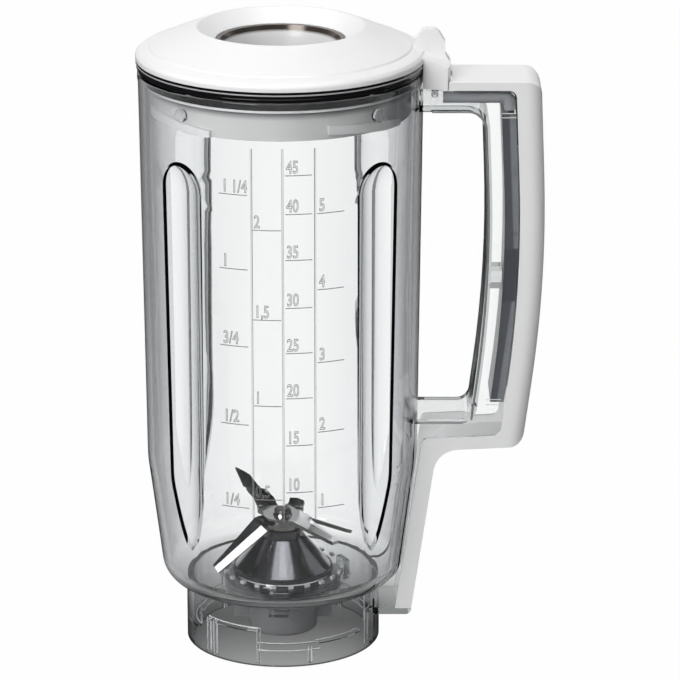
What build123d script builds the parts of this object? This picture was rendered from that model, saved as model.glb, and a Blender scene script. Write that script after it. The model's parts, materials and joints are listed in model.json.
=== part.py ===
from build123d import *
import math
import os

# Blender jar in millimetres: base ring standing on Z = 0, jar axis on Z, handle towards +X

# Jar shell
wall = 2.5
ring_radius = 38.2
ring_height = 25.0
foot_taper = 6.4
shoulder_radius = 9.6
wall_taper = 1.8
knee_height = 75.7
knee_blend = 60.0
mouth_radius = 54.8
jar_height = 232.0
rim_bead = 0.2
rim_bead_height = 3.0
rim_round = 0.7

# Flutes pressed into the jar wall
flute_count = 4
flute_phase = 45.0
flute_width = 20.0
flute_depth = 4.9
flute_gap = 12.9

# Lid pins on the inside of the mouth
pin_radius = 2.5
pin_reach = 1.9
pin_drop = 9.2

# Bayonet ribs inside the base ring, repeated round the ring
rib_count = 3
rib_reach = 1.3
rib_line = 1.2
rib_phase = -106.0
entry_angle = 30.0
entry_frame_angle = 8.0
entry_height = 13.6
lock_angle = 39.5
lock_low = 5.8
lock_high = 8.7
shelf_angle = 31.5
shelf_high = 9.3
stub_angle = 33.0
ring_chamfer = 0.5

# Hooks under the floor that carry the blade carrier
hook_count = 3
hook_phase = -90.0
hook_half_angle = 5.0
hook_wall = 2.2
hook_lip = 1.4
hook_stop_angle = 3.5

# Handle: outline in the XZ plane, measured from the mouth and the rim
handle_half_width = 14.0
handle_wall = 2.2
handle_drop = 2.5
arm_height = 11.5
finger_height = 124.0
lower_arm_height = 12.0
lower_arm_rise = 1.6
grip_top_reach = 44.8
grip_mid_reach = 48.1
grip_foot_reach = 39.3
grip_mid_drop = 79.5
grip_run_out = 13.35
grip_depth = 22.6
grip_round = 6.0
top_corner = 6.0
foot_corner = 6.0
strip_corner = 10.0
strip_stand = 6.7
strip_foot_stand = 12.3
strip_thickness = 6.5
foot_low = 12.6
foot_thickness = 2.4
foot_round = 3.0
window_top_round = 7.0
window_foot_round = 5.0

# Handle cover and the strip behind it
cover_wall = 2.2
cover_side_top = 3.3
cover_side_grip = 9.8
cover_side_low = 4.8
seam_gap = 0.15
strip_depth = 5.3
strip_base = 2.6
strip_side = 1.8
strip_gap = 0.4
strip_head = 1.8
strip_tail = 6.8
post_half_width = 6.0
post_height = 7.0
post_drop = 77.0
bar_radius = 1.4
bar_reach = 4.0
bar_drop = 1.7

# Lid
seat_gap = 0.3
rim_overhang = 0.6
lid_edge = 1.7
lid_bevel = 1.2
lid_rim_width = 5.6
lid_step_rise = 4.3
lid_step = 0.6
lid_crest_radius = 32.2
lid_crest_rise = 12.3
lid_crest_round = 1.2
lid_hole_radius = 25.0
lid_hole_rise = 7.0
lid_wall = 2.3
lid_tube_drop = 6.0
skirt_depth = 15.6
skirt_wall = 2.2
ledge_drop = 3.4
ledge_thickness = 0.9
pin_gap = 0.5
ramp_reach = 1.5
ramp_height = 3.3
ramp_fall = 3.0
ramp_before = 24.0
ramp_after = 15.0

# Hook and thumb fin on the lid
lid_hook_depth = 9.5
lid_hook_half_angle = 12.4
lid_hook_slope = 0.39
lid_hook_rise = 3.0
lid_hook_wall = 2.2
hook_slide_gap = 0.3
hook_turn_gap = 0.6
fin_half_width = 2.5
fin_rise = 11.1
fin_round = 2.5
fin_flare = 3.0

# Lid seal and filler funnel
seal_flange = 4.1
seal_inset = 0.2
seal_band = 1.1
seal_fit = 0.05
seal_gap = 0.35
funnel_ledge = 1.4
funnel_seat_rise = 2.6
funnel_gap = 0.2
funnel_wall = 1.8
funnel_taper = 3.8
funnel_tuck = 1.0

# Blade carrier
floor_gap = 0.3
neck_radius = 19.5
neck_rise = 1.7
flange_radius = 23.0
flange_thickness = 3.7
lug_reach = 2.9
lug_half_angle = 7.0
lug_thickness = 2.5
carrier_seal_size = 2.1
carrier_seal_chamfer = 0.6
carrier_seal_gap = 0.15
housing_radius = 13.4
housing_low = 3.0
housing_round = 1.5
wing_radius = 19.5
wing_half_thickness = 1.5
wing_low = 7.0

# Steel cone over the bearing
cone_inset = 0.5
cone_height = 12.2
cone_top_radius = 8.6
cone_sheet = 1.0
cone_gap = 0.1

# Shaft, bearings and coupling
shaft_radius = 4.0
spigot_radius = 3.0
run_gap = 0.05
bearing_wall = 2.45
bearing_length = 8.5
bearing_fit = 0.05
seal_collar_radius = 8.2
seal_collar_height = 3.4
seal_plug_height = 3.2
spacer_radius = 7.4
spacer_height = 1.6
spacer_gap = 0.4
washer_thickness = 0.7
washer_gap = 0.05
coupling_radius = 10.2
coupling_gap = 0.4
coupling_height = 7.6
coupling_web = 2.6
coupling_recess = 0.6
socket_radius = 6.5
socket_slots = 6
socket_slot_reach = 2.1
socket_slot_half_width = 1.3
ring_clip_thickness = 0.9
ring_clip_groove = 0.4
ring_clip_width = 1.8
ring_clip_gap_angle = 70.0

# Blades
blade_sheet = 1.5
blade_bend_radius = 9.0
blade_bevel = 4.2
blade_hub_radius = 7.8
blade_edge = 0.3
lower_phase = 32.0
lower_arm_width = 12.0
lower_arm_length = 27.3
lower_back_tilt = 27.0
lower_front_tilt = 32.0
upper_phase = 130.0
upper_arm_width = 10.0
raised_arm_width = 5.4
raised_arm_length = 23.9
raised_arm_tilt = -31.5
dropped_arm_turn = 195.0
dropped_arm_length = 18.0
dropped_arm_tilt = 18.7
lug_blade_phase = 62.0
lug_blade_length = 4.0
lug_blade_width = 8.5
lug_blade_tilt = -40.0
nut_radius = 3.4
nut_height = 1.6
nut_washer_radius = 3.9
nut_washer_thickness = 0.6

# Room that cutting tools reach past a face
over = 1.0

# Places worked out from the sizes above
floor_top = ring_height + wall
knee_radius = mouth_radius - wall_taper
foot_radius = knee_radius - foot_taper
handle_top = jar_height - handle_drop
window_top = handle_top - arm_height
window_low = window_top - finger_height
arm_under = window_low - lower_arm_height
grip_mid = handle_top - grip_mid_drop
grip_lean = math.atan2(grip_mid_reach - grip_top_reach, grip_mid_drop)
grip_slope = math.atan2(grip_mid_reach - grip_foot_reach, grip_mid - arm_under)
grip_curve = (grip_mid - window_low - grip_run_out) / math.tan((grip_lean + grip_slope) / 2)
root_x = ring_radius - 3 * wall
foot_top = foot_low + foot_thickness
seal_low = jar_height + seat_gap
lid_low = seal_low + seal_flange
lid_radius = mouth_radius + rim_bead + rim_overhang
lid_step_radius = lid_radius - lid_rim_width
skirt_low = jar_height - skirt_depth
ledge_height = jar_height - ledge_drop
pin_height = jar_height - pin_drop
flute_top = skirt_low - flute_gap
hook_low = handle_top - cover_side_top + hook_slide_gap
lid_hook_inner = mouth_radius + rim_bead + hook_turn_gap
lid_hook_outer = lid_hook_inner + lid_hook_depth
flange_top = ring_height - floor_gap - carrier_seal_size
flange_low = flange_top - flange_thickness
neck_top = floor_top + neck_rise
cone_low = neck_top + cone_gap
cone_top = cone_low + cone_height
coupling_low = housing_low + coupling_recess
coupling_top = coupling_low + coupling_height
lower_bearing_low = coupling_top + washer_thickness + 2 * washer_gap
lower_bearing_high = lower_bearing_low + bearing_length
bearing_radius = shaft_radius + run_gap + bearing_wall
seal_plug_low = cone_top - seal_plug_height
upper_bearing_high = seal_plug_low - washer_gap
upper_bearing_low = upper_bearing_high - bearing_length
spacer_low = cone_top + cone_gap + seal_collar_height + spacer_gap
blade_low = spacer_low + spacer_height
blade_mid = blade_low + blade_sheet
blade_top = blade_mid + blade_sheet
nut_low = blade_top + nut_washer_thickness


def outer_radius(height):
    """Outside radius of the jar wall above the shoulder"""
    if height < knee_height:
        share = (height - ring_height) / (knee_height - ring_height)
        return foot_radius + share * (knee_radius - foot_radius)
    share = (height - knee_height) / (jar_height - knee_height)
    return knee_radius + share * (mouth_radius - knee_radius)


def grip_line(height, depth):
    """X of the grip's guide lines at a height, a depth inside its outer face"""
    if height > grip_mid:
        share = (height - grip_mid) / (handle_top - grip_mid)
        reach = grip_mid_reach + share * (grip_top_reach - grip_mid_reach)
    else:
        share = (grip_mid - height) / (grip_mid - arm_under)
        reach = grip_mid_reach + share * (grip_foot_reach - grip_mid_reach)
    return mouth_radius + reach - depth


def strip_line(height, depth):
    """X of the cover strip beside the jar at a height, a depth inside its outer face"""
    share = (height - foot_low) / (knee_height - foot_low)
    low = ring_radius + strip_foot_stand
    high = knee_radius + strip_stand
    return low + share * (high - low) - depth


def section(points, radii):
    """Closed face in the XZ plane with one corner radius for each point"""
    return Plane.XZ * make_face(FilletPolyline(*points, radius=radii, close=True))


def sharp(*points):
    """Closed straight-sided face in the XZ plane"""
    return Plane.XZ * make_face(Polyline(*points, close=True))


def ring(inner, outer, low, high):
    """Ring about Z with a plain rectangular section"""
    return revolve(sharp((inner, low), (outer, low), (outer, high), (inner, high)), Axis.Z)


def disc(radius, low, high):
    """Plain cylinder about Z"""
    return Pos(0, 0, low) * Cylinder(radius, high - low, align=(Align.CENTER, Align.CENTER, Align.MIN))


def sector(inner, outer, low, high, start, end):
    """Part of a plain ring between two angles in degrees"""
    face = sharp((inner, low), (outer, low), (outer, high), (inner, high))
    return Rot(0, 0, start) * revolve(face, Axis.Z, end - start)


def around(count, phase):
    """Angles of a pattern round Z"""
    return [phase + turn * 360.0 / count for turn in range(count)]


def slab(face, half_width):
    """Face in the XZ plane given the same width both ways"""
    return extrude(face, half_width, both=True)


# Jar shell
def cup(inset, high):
    """Solid of the cup taken in from its outside by a wall"""
    low = ring_height + inset
    points = [
        (0, low),
        (foot_radius - inset, low),
        (knee_radius - inset, knee_height),
        (mouth_radius - inset, jar_height),
        (mouth_radius - inset, high),
        (0, high),
    ]
    radii = [0, shoulder_radius - inset, knee_blend - inset, 0, 0, 0]
    if high <= jar_height:
        del points[4]
        del radii[4]
    return revolve(section(points, radii), Axis.Z)


def flute_tool(grow):
    """Upright round-nosed rod that presses one flute into the wall at angle zero"""
    press = (flute_width**2 / 4 + flute_depth**2) / (2 * flute_depth)
    nose = flute_top - flute_width / 2
    axis = outer_radius(nose) + press - flute_depth
    rod = Cylinder(press + grow, nose, align=(Align.CENTER, Align.CENTER, Align.MIN))
    return Pos(axis, 0, 0) * (rod + Pos(0, 0, nose) * Sphere(press + grow))


def fluted(body, grow):
    """Body with the flutes cut into it, each grown by a wall"""
    tool = flute_tool(grow)
    for angle in around(flute_count, flute_phase):
        body -= Rot(0, 0, angle) * tool
    return body


# Handle outlines in the XZ plane
def handle_outline(inset):
    """Outline of the whole handle, taken in from its outside"""
    top = handle_top - inset
    inner_under = arm_under - lower_arm_rise / 2 + inset
    outer_under = arm_under + lower_arm_rise / 2 + inset
    points = [
        (root_x, top),
        (grip_line(handle_top, inset), top),
        (grip_line(grip_mid, inset), grip_mid),
        (grip_line(outer_under, inset), outer_under),
        (strip_line(inner_under, inset), inner_under),
        (strip_line(foot_low, inset), foot_low),
        (root_x, foot_low),
    ]
    radii = [0, top_corner - inset, grip_curve - inset, foot_corner - inset, strip_corner + inset, 0, 0]
    return section(points, radii)


def rim_outline(inset):
    """Outline of the clear channel up to the seam with the cover"""
    top = handle_top - cover_side_top - inset
    depth = cover_side_grip + inset
    inner_seam = arm_under - lower_arm_rise / 2 + cover_side_low + inset
    outer_seam = arm_under + lower_arm_rise / 2 + cover_side_low + inset
    points = [
        (root_x, top),
        (grip_line(handle_top, depth), top),
        (grip_line(grip_mid, depth), grip_mid),
        (grip_line(outer_seam, depth), outer_seam),
        (strip_line(inner_seam, strip_thickness + inset), inner_seam),
        (strip_line(foot_low, strip_thickness + inset), foot_low),
        (root_x, foot_low),
    ]
    radii = [0, top_corner / 2, grip_curve - depth, foot_corner / 2, strip_corner / 4, 0, 0]
    return section(points, radii)


def window_outline(grow):
    """Outline of the finger gap, grown by the channel's wall"""
    depth = grip_depth - grow
    points = [
        (root_x, window_top + grow),
        (grip_line(window_top, depth), window_top + grow),
        (grip_line(grip_mid, depth), grip_mid),
        (grip_line(window_low, depth), window_low - grow),
        (root_x, window_low - grow),
    ]
    radii = [0, window_top_round + grow, grip_curve - depth, window_foot_round + grow, 0]
    return section(points, radii)


def below(height):
    """Half plane under a height"""
    far = mouth_radius + grip_mid_reach + over
    return sharp((0, -over), (far, -over), (far, height), (0, height))


def beyond(start, height):
    """Quarter plane out from an X and up from a height"""
    far = mouth_radius + grip_mid_reach + over
    return sharp((start, height), (far, height), (far, jar_height), (start, jar_height))


def handle_channel():
    """Clear U channel of the handle, open outwards, with its foot, snap post and cross bar"""
    foot = handle_outline(0) & below(foot_top)
    block = slab(rim_outline(0) + foot - window_outline(0), handle_half_width)
    hollow = handle_outline(0) - window_outline(handle_wall) - below(foot_top)
    channel = block - slab(hollow, handle_half_width - handle_wall)
    channel = round_foot(channel)
    post_top = handle_top - post_drop
    band = below(post_top) - below(post_top - post_height)
    post = (rim_outline(strip_depth + 2 * seat_gap) - window_outline(handle_wall / 2)) & band
    bar_place = Pos(mouth_radius + bar_reach, 0, handle_top - cover_side_top - bar_drop)
    bar = bar_place * Rot(90, 0, 0) * Cylinder(bar_radius, 2 * handle_half_width - handle_wall)
    return channel + slab(post, post_half_width) + bar


def round_foot(channel):
    """Round the outer lower edge of the clear foot"""
    reach = ring_radius + strip_foot_stand
    edges = channel.edges().filter_by(Axis.Y).filter_by_position(Axis.Z, foot_low - 0.1, foot_low + 0.1)
    outer = edges.filter_by_position(Axis.X, reach - 0.5, reach + 0.5)
    return fillet(outer, min(foot_round, foot_thickness * 0.9))


def ring_ribs():
    """Bayonet ribs on the inside of the base ring"""
    outer = ring_radius - wall / 2
    inner = ring_radius - wall - rib_reach
    line = math.degrees(rib_line / inner)
    ribs = []
    for angle in around(rib_count, rib_phase):
        entry = angle - entry_angle
        frame = entry - entry_frame_angle
        ribs.append(sector(inner, outer, entry_height, entry_height + rib_line, frame, angle + line))
        for post in (frame, entry - line, angle):
            ribs.append(sector(inner, outer, ring_chamfer, entry_height + rib_line, post, post + line))
        lock_end = angle + lock_angle
        ribs.append(sector(inner, outer, lock_low, lock_high, angle, lock_end))
        shelf_end = lock_end + shelf_angle
        ribs.append(sector(inner, outer, shelf_high - rib_line, shelf_high, lock_end - line, shelf_end))
        stub = angle + stub_angle
        ribs.append(sector(inner, outer, ring_chamfer, lock_low + rib_line, stub, stub + line))
    return ribs


def floor_hooks():
    """Hooks under the floor, each with a lip below the carrier's lug and a stop beside it"""
    inner = flange_radius + 2 * floor_gap
    post = flange_radius + lug_reach + floor_gap
    outer = post + hook_wall
    lip_high = flange_low - floor_gap
    lip_low = lip_high - hook_lip
    hooks = []
    for angle in around(hook_count, hook_phase):
        start = angle - hook_half_angle
        end = angle + hook_half_angle
        stop = angle - lug_half_angle - hook_stop_angle
        hooks.append(sector(post, outer, lip_low, floor_top - wall / 2, stop, end))
        hooks.append(sector(inner, outer, lip_low, lip_high, stop, end))
        stop_end = angle - lug_half_angle - math.degrees(floor_gap / inner)
        hooks.append(sector(inner, outer, lip_low, floor_top - wall / 2, stop, stop_end))
    return hooks


def lid_pins():
    """Round pins on the inside of the mouth"""
    surface = outer_radius(pin_height) - wall
    length = pin_reach + wall / 2
    centre = Pos(surface - pin_reach + length / 2, 0, pin_height)
    pin = centre * Rot(0, 90, 0) * Cylinder(pin_radius, length)
    return [Rot(0, 0, angle) * pin for angle in around(flute_count, flute_phase)]


def jar_body():
    """One clear moulding: cup, base ring, handle channel, pins, ribs and hooks"""
    body = fluted(cup(0, jar_height), 0)
    body += ring(mouth_radius - wall / 2, mouth_radius + rim_bead, jar_height - rim_bead_height, jar_height)
    body += ring(ring_radius - wall, ring_radius, 0, ring_height + wall / 2)
    body += handle_channel()
    body -= fluted(cup(wall, jar_height + over), wall)
    body -= disc(ring_radius - wall, -over, ring_height)
    body -= disc(neck_radius + floor_gap, ring_height - over, floor_top + over)
    circles = body.edges().filter_by(GeomType.CIRCLE)
    body = fillet(circles.filter_by_position(Axis.Z, jar_height - 0.1, jar_height + 0.1), rim_round)
    for piece in lid_pins() + ring_ribs() + floor_hooks():
        body += piece
    return body


# Handle cover and strip
def grip_envelope():
    """Bar with rounded outer edges that follows the grip's outer face"""
    reach = mouth_radius + grip_mid_reach
    high = handle_top + top_corner
    low = -top_corner
    points = [(grip_line(high, -seam_gap / 5), 0, high)]
    points.append((grip_line(grip_mid, -seam_gap / 5), 0, grip_mid))
    points.append((grip_line(low, -seam_gap / 5), 0, low))
    path = FilletPolyline(*points, radius=[grip_curve])
    plane = Plane(path @ 0, x_dir=(0, 1, 0), z_dir=path % 0)
    bar = Rectangle(2 * handle_half_width, reach)
    side = 1 if (plane * Pos(0, 1, 0)).position.X > (path @ 0).X else -1
    shift = Pos(0, -side * reach / 2)
    bar = shift * bar
    outer = bar.vertices().sort_by(Axis.Y)[-2:] if side > 0 else bar.vertices().sort_by(Axis.Y)[:2]
    return sweep(plane * fillet(outer, grip_round), path)


def handle_cover():
    """White cover over the channel, from the lid hook round the grip and down to the base"""
    face = handle_outline(0) - rim_outline(-seam_gap) - below(foot_top + seam_gap)
    cover = slab(face, handle_half_width) & grip_envelope()
    cover -= slab(handle_outline(cover_wall), handle_half_width - cover_wall)
    return cover - disc(lid_hook_outer + hook_turn_gap, window_top, handle_top + over)


def handle_strip():
    """Shallow dark strip in the channel, behind the cover"""
    grip = grip_line(arm_under, grip_depth) + handle_wall
    zone = beyond(grip + handle_wall, window_low + strip_tail) - beyond(0, window_top - strip_head)
    band = (rim_outline(seat_gap) - rim_outline(seat_gap + strip_depth)) & zone
    half = handle_half_width - handle_wall - strip_gap
    groove = rim_outline(-over) - rim_outline(seat_gap + strip_depth - strip_base)
    return slab(band, half) - slab(groove, half - strip_side)


# Lid
def lid_shell():
    """Turned body of the lid with its plug, skirt and filler tube"""
    plug = seal_inner() - seal_fit
    skirt = skirt_radius()
    tube = lid_hole_radius + lid_wall
    seat = lid_low + funnel_seat_rise
    seat_radius = lid_hole_radius - funnel_ledge
    crest = lid_low + lid_crest_rise
    hole = lid_low + lid_hole_rise
    tube_low = lid_low - lid_tube_drop
    step = lid_low + lid_step_rise
    points = [
        (lid_radius, lid_low),
        (lid_radius, lid_low + lid_edge),
        (lid_radius - lid_bevel, lid_low + lid_edge + lid_bevel),
        (lid_step_radius + lid_step, step),
        (lid_step_radius, step + lid_step),
        (lid_crest_radius, crest),
        (lid_hole_radius, hole),
        (lid_hole_radius, seat),
        (seat_radius, seat),
        (seat_radius, tube_low),
        (tube, tube_low),
        (tube, hole - lid_wall),
        (lid_crest_radius, crest - lid_wall),
        (skirt - skirt_wall, step + lid_step - lid_wall),
        (skirt - skirt_wall, skirt_low),
        (skirt, skirt_low),
        (skirt, ledge_height - ledge_thickness),
        (seal_outer(), ledge_height - ledge_thickness),
        (seal_outer(), ledge_height),
        (plug, ledge_height),
        (plug, lid_low),
    ]
    radii = [0] * len(points)
    radii[1:3] = [lid_bevel, lid_bevel]
    radii[5] = lid_crest_round
    radii[12] = lid_crest_round
    return revolve(section(points, radii), Axis.Z)


def skirt_radius():
    """Outside of the lid's skirt, just inside the jar's pins"""
    return outer_radius(pin_height) - wall - pin_reach - pin_gap


def seal_outer():
    """Outside of the lid seal's band"""
    return outer_radius(ledge_height) - wall - seal_gap


def seal_inner():
    """Inside of the lid seal's band"""
    return seal_outer() - seal_band


def lid_ramps():
    """Sloping ramps on the skirt that pull the lid down under the pins"""
    skirt = skirt_radius()
    reach = skirt + ramp_reach
    span = math.radians(ramp_before + ramp_after) * skirt
    tilt = math.degrees(math.atan2(ramp_fall, span))
    top = pin_height - pin_radius - seat_gap
    band = Box(4 * reach, 4 * reach, ramp_height, align=(Align.CENTER, Align.CENTER, Align.MAX))
    band = Pos(0, 0, top) * Rot(-tilt, 0, 0) * band
    blank = sector(skirt - skirt_wall / 2, reach, skirt_low, ledge_height, -ramp_before, ramp_after)
    ramp = blank & band
    return [Rot(0, 0, angle) * ramp for angle in around(flute_count, flute_phase)]


def lid_hook():
    """Hollow hook of the lid that sits over the root of the handle"""
    inner = lid_hook_inner
    outer = lid_hook_outer
    root = lid_radius - lid_wall
    top = lid_low + lid_hook_rise
    end = top - lid_hook_slope * (outer - root)
    points = (inner, hook_low), (outer, hook_low), (outer, end), (root, top), (root, lid_low), (inner, lid_low)
    face = sharp(*points)
    box = Rot(0, 0, -lid_hook_half_angle) * revolve(face, Axis.Z, 2 * lid_hook_half_angle)
    low = inner + lid_hook_wall
    high = outer - lid_hook_wall
    roof = end - lid_hook_wall
    angle = lid_hook_half_angle - math.degrees(lid_hook_wall / inner)
    return box - sector(low, high, hook_low - over, roof, -angle, angle)


def lid_fin():
    """Upright fin on the hook for the thumb, flared at its outer foot"""
    root = lid_radius - 2 * lid_wall
    high = lid_low + fin_rise
    outer = lid_hook_outer - lid_hook_wall
    foot = lid_hook_outer - lid_hook_wall / 4
    foot_rise = lid_hook_rise - lid_hook_slope * (foot - lid_radius + lid_wall)
    points = [
        (root, lid_low + lid_edge),
        (root, high - 1.6 * fin_round),
        (root + 1.4 * fin_round, high),
        (outer - 1.2 * fin_round, high),
        (outer, high - 2 * fin_round),
        (outer, lid_low + foot_rise + fin_flare),
        (foot, lid_low + foot_rise),
        (foot, lid_low + foot_rise - lid_edge),
    ]
    radii = [0, fin_round, fin_round, 1.6 * fin_round, fin_round, fin_flare, 0, 0]
    return slab(section(points, radii), fin_half_width)


def lid():
    """One white moulding: lid, skirt, ramps, hook and fin"""
    body = lid_shell()
    for piece in lid_ramps():
        body += piece
    return body + lid_hook() + lid_fin()


def lid_seal():
    """Angle ring that closes the gap between the lid and the jar's rim"""
    inner = seal_inner()
    outer = seal_outer()
    rim = mouth_radius - seal_inset
    edge = lid_radius - seal_inset
    low = ledge_height + seal_fit
    points = [
        (inner, low),
        (outer, low),
        (outer, seal_low),
        (rim, seal_low),
        (edge, seal_low + seal_flange / 2),
        (edge, lid_low),
        (inner, lid_low),
    ]
    return revolve(section(points, [0, 0, 0, 0, seal_band, 0, 0]), Axis.Z)


def filler_funnel():
    """Clear funnel that rests on the ledge in the lid's opening"""
    collar = lid_hole_radius - funnel_gap
    body = lid_hole_radius - funnel_ledge - funnel_gap
    seat = lid_low + funnel_seat_rise
    high = lid_low + lid_hole_rise - funnel_gap
    low = skirt_low + funnel_tuck
    points = [
        (collar, high),
        (collar, seat),
        (body, seat),
        (body - funnel_taper, low),
        (body - funnel_taper - funnel_wall, low),
        (body - funnel_wall, seat),
        (collar - funnel_wall, high),
    ]
    return revolve(sharp(*points), Axis.Z)


# Blade carrier
def bearing_cone():
    """Thin polished steel cone over the bearing"""
    base = neck_radius - cone_inset
    points = [
        (base, cone_low),
        (cone_top_radius, cone_top),
        (cone_top_radius - cone_sheet, cone_top),
        (base - cone_sheet, cone_low),
    ]
    return revolve(sharp(*points), Axis.Z)


def blade_carrier():
    """Grey carrier with neck, flange, lugs, drive housing and turning wings"""
    seat = bearing_radius + bearing_fit
    clear = shaft_radius + 4 * run_gap
    pocket = coupling_radius + coupling_gap
    base = neck_radius - cone_inset - cone_sheet - cone_gap
    points = [
        (pocket, housing_low),
        (housing_radius, housing_low),
        (housing_radius, flange_low),
        (flange_radius, flange_low),
        (flange_radius, flange_top),
        (neck_radius, flange_top),
        (neck_radius, neck_top),
        (base, neck_top),
        (cone_top_radius - cone_sheet - cone_gap, cone_top),
        (seat, cone_top),
        (seat, upper_bearing_low),
        (clear, upper_bearing_low),
        (clear, lower_bearing_high),
        (seat, lower_bearing_high),
        (seat, lower_bearing_low - washer_thickness),
        (pocket, lower_bearing_low - washer_thickness),
    ]
    radii = [0, housing_round] + [0] * (len(points) - 2)
    body = revolve(section(points, radii), Axis.Z)
    wing_low_place = (housing_radius + pocket) / 2
    for side in (0, 180):
        blade = sharp(
            (wing_low_place, wing_low),
            (wing_radius, wing_low),
            (wing_radius, flange_low + flange_thickness / 2),
            (wing_low_place, flange_low + flange_thickness / 2),
        )
        body += Rot(0, 0, side) * slab(blade, wing_half_thickness)
    for angle in around(hook_count, hook_phase):
        start = angle - lug_half_angle
        end = angle + lug_half_angle
        outer = flange_radius + lug_reach
        body += sector(flange_radius - over, outer, flange_low, flange_low + lug_thickness, start, end)
    return body


def carrier_seal():
    """Ring seal between the carrier's flange and the jar's floor"""
    inner = neck_radius + carrier_seal_gap
    outer = inner + carrier_seal_size
    high = flange_top + carrier_seal_size
    cut = carrier_seal_chamfer
    points = [
        (inner, flange_top),
        (outer - cut, flange_top),
        (outer, flange_top + cut),
        (outer, high - cut),
        (outer - cut, high),
        (inner, high),
    ]
    return revolve(sharp(*points), Axis.Z)


def upper_bearing():
    """Plain bush under the shaft seal"""
    return ring(shaft_radius + run_gap, bearing_radius, upper_bearing_low, upper_bearing_high)


def lower_bearing():
    """Plain bush above the drive coupling"""
    return ring(shaft_radius + run_gap, bearing_radius, lower_bearing_low, lower_bearing_high)


def shaft_seal():
    """Black collar seal on top of the cone"""
    bore = shaft_radius + run_gap
    collar_low = cone_top + cone_gap
    points = [
        (bore, seal_plug_low),
        (bearing_radius, seal_plug_low),
        (bearing_radius, collar_low),
        (seal_collar_radius, collar_low),
        (seal_collar_radius, collar_low + seal_collar_height),
        (bore, collar_low + seal_collar_height),
    ]
    return revolve(sharp(*points), Axis.Z)


# Rotor
def blade_shaft():
    """Stepped shaft with a spigot at each end"""
    clip_high = coupling_top - coupling_web
    clip_low = clip_high - ring_clip_thickness
    groove = spigot_radius - ring_clip_groove
    low = clip_low - ring_clip_thickness
    points = [
        (0, low),
        (spigot_radius, low),
        (spigot_radius, clip_low),
        (groove, clip_low),
        (groove, clip_high),
        (spigot_radius, clip_high),
        (spigot_radius, coupling_top),
        (shaft_radius, coupling_top),
        (shaft_radius, spacer_low),
        (spigot_radius, spacer_low),
        (spigot_radius, nut_low + nut_height / 2),
        (0, nut_low + nut_height / 2),
    ]
    return revolve(sharp(*points), Axis.Z)


def blade_spacer():
    """Collar that carries the blades on the shaft's shoulder"""
    return ring(spigot_radius + run_gap, spacer_radius, spacer_low, blade_low)


def thrust_washer():
    """Washer between the drive coupling and the lower bearing"""
    low = coupling_top + washer_gap
    return ring(shaft_radius + run_gap, bearing_radius, low, low + washer_thickness)


def drive_coupling():
    """Plastic dog with a slotted socket for the drive"""
    body = disc(coupling_radius, coupling_low, coupling_top)
    body -= disc(spigot_radius + run_gap, coupling_low - over, coupling_top + over)
    socket_high = coupling_top - coupling_web
    body -= disc(socket_radius, coupling_low - over, socket_high)
    reach = socket_radius + socket_slot_reach
    slot_low = coupling_low - over
    slot = sharp((0, slot_low), (reach, slot_low), (reach, socket_high), (0, socket_high))
    for angle in around(socket_slots, 0):
        body -= Rot(0, 0, angle) * slab(slot, socket_slot_half_width)
    return body


def retaining_ring():
    """Open spring ring in the groove under the coupling's web"""
    high = coupling_top - coupling_web - run_gap
    inner = spigot_radius - ring_clip_groove + run_gap
    half = ring_clip_gap_angle / 2
    low = high - ring_clip_thickness + 2 * run_gap
    return sector(inner, inner + ring_clip_width, low, high, half, 360 - half)


# Blades
def blade_arm(outline, width, edge, tilt, angle, level):
    """Bent arm of a blade with one ground edge, set at an angle round the shaft"""
    half = blade_sheet / 2
    plate = extrude(make_face(Polyline(*outline, close=True)), half, both=True)
    reach = max(point[0] for point in outline)
    far = width / 2 + over
    ground = (edge - blade_bevel, half), (far, half), (far, -half), (edge, blade_edge - half)
    wedge = Plane.YZ * make_face(Polyline(*ground, close=True))
    plate -= Pos(blade_sheet, 0, 0) * extrude(wedge, reach + over)
    bend = Rot(90, 0, 0) * Cylinder(half, width)
    arm = Rot(0, tilt, 0) * (plate + bend)
    root = Box(blade_bend_radius, width, blade_sheet, align=(Align.MIN, Align.CENTER, Align.CENTER))
    return Rot(0, 0, angle) * Pos(0, 0, level + half) * (root + Pos(blade_bend_radius, 0, 0) * arm)


def pierced(blade, level):
    """Blade with the hole for the shaft's spigot"""
    return blade - disc(spigot_radius + run_gap, level - over, level + blade_sheet + over)


def lower_blade():
    """Lower blade, both arms bent down to a square tip"""
    width = lower_arm_width
    length = lower_arm_length
    half = width / 2
    edge = 0.87 * half
    outline = (0, -half), (0.95 * length, -0.15 * half), (length, 0.72 * half), (0, edge)
    blade = disc(blade_hub_radius, blade_low, blade_mid)
    for turn, tilt in (0, lower_back_tilt), (180, lower_front_tilt):
        blade += blade_arm(outline, width, edge, tilt, lower_phase + turn, blade_low)
    return pierced(blade, blade_low)


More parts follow.
